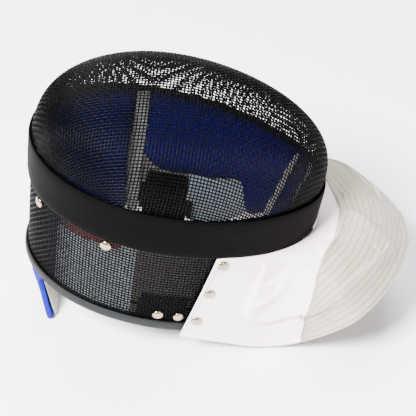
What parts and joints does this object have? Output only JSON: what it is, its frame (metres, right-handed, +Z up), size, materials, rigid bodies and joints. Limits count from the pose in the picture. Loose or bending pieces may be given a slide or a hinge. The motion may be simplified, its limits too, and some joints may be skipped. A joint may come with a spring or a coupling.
{
  "type": "fencing mask",
  "caption": "Fencing mask lying face up: black wire dome and sides, wide rim band, white and pale grey cloth bib, blue pads and tongue.",
  "frame": {"origin": "centre of the bounding box's base, on the floor the mask lies on", "axes": "+Z up from the floor, +X from the crown toward the chin and bib, +Y to the wearer's left"},
  "size_m": [0.373, 0.2148, 0.2561],
  "materials": {
    "wire": "black coated steel wire cloth",
    "band": "black ribbed band",
    "trim": "dark slate binding",
    "white_cloth": "white woven cloth",
    "lame_cloth": "pale grey conductive cloth, stitched",
    "blue_cloth": "bright blue cloth",
    "lining": "pale lining cloth",
    "pad": "deep blue padded cloth",
    "strip": "white cloth strip",
    "red_strip": "dark red cloth strip",
    "elastic": "black elastic webbing",
    "nickel": "nickel plated"
  },
  "bodies": {
    "root": {"front_mesh_crown": "wire", "front_mesh_chin": "wire", "side_mesh": "wire", "rim_band": "band", "rear_trim": "trim", "bib_white": "white_cloth", "bib_lame": "lame_cloth", "tongue": "blue_cloth", "tongue_lining": "lining", "crown_pad": "pad", "chin_pad": "pad", "side_pad_left": "pad", "side_pad_right": "pad", "crown_strip_left": "strip", "crown_strip_right": "strip", "chin_strip_left": "strip", "chin_strip_right": "strip", "red_strip_left": "red_strip", "red_strip_right": "red_strip", "bib_lining_left": "white_cloth", "bib_lining_right": "white_cloth", "back_strap": "elastic", "rivet_band_left": "nickel", "rivet_crown_left": "nickel", "rivet_strap_a_left": "nickel", "rivet_strap_b_left": "nickel", "rivet_bib_a_left": "nickel", "rivet_bib_b_left": "nickel", "rivet_bib_c_left": "nickel", "rivet_band_right": "nickel", "rivet_crown_right": "nickel", "rivet_strap_a_right": "nickel", "rivet_strap_b_right": "nickel", "rivet_bib_a_right": "nickel", "rivet_bib_b_right": "nickel", "rivet_bib_c_right": "nickel"}
  },
  "joints": []
}
